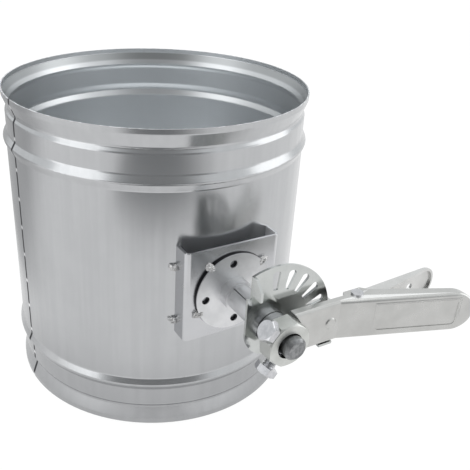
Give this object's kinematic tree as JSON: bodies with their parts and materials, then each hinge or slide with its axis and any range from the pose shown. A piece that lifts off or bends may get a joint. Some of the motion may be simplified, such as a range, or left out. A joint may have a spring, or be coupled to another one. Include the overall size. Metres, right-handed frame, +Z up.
{
  "type": "stove pipe damper",
  "caption": "Beaded round duct section with an inner disc blade turned by a squeeze-trigger lever over a slotted quadrant on a side bracket.",
  "frame": {"origin": "on the pipe's axis at its lower rim", "axes": "+Z up the pipe, -Y out along the shaft on the lever's side, +X along the lever with the blade closed"},
  "size_m": [0.2813, 0.3852, 0.257],
  "materials": {
    "galvanised_sheet": "satin galvanised sheet",
    "weld_metal": "small weld tacks",
    "zinc_plate": "bright zinc plate",
    "bar_steel": "bare bar",
    "zinc_fastener": "bright zinc fastener",
    "spring_wire": "spring wire"
  },
  "bodies": {
    "housing": {"pipe_body": "galvanised_sheet", "mounting_bracket": "galvanised_sheet", "bracket_welds": "weld_metal", "bearing_flange": "zinc_plate", "flange_welds": "weld_metal", "bearing_tube": "zinc_plate", "quadrant_plate": "zinc_plate", "far_bush": "zinc_plate"},
    "rotor": {"shaft": "bar_steel", "damper_blade": "galvanised_sheet", "blade_bolts": "zinc_fastener", "blade_nuts": "zinc_fastener", "end_washer": "zinc_fastener", "retaining_ring": "bar_steel", "hub_spacer": "zinc_fastener", "lever_hub": "zinc_plate", "hub_set_bolt_upper": "zinc_fastener", "hub_set_bolt_lower": "zinc_fastener", "lever": "zinc_plate", "trigger_pivot": "zinc_fastener", "trigger_spring": "spring_wire"},
    "trigger": {"trigger": "zinc_plate"}
  },
  "joints": [
    {"name": "blade_turn", "type": "hinge", "parent": "housing", "child": "rotor", "pos_m": [0, 0, 0.1295], "axis": [0, -1, 0], "range_deg": [0, 90]},
    {"name": "trigger_squeeze", "type": "hinge", "parent": "rotor", "child": "trigger", "pos_m": [0.065, -0.2, 0.1295], "axis": [0, 0, -1], "range_deg": [0, 18], "stiffness_Nm_per_rad": 0.6, "springref_deg": -17.19, "deforming": ["trigger_spring"]}
  ]
}
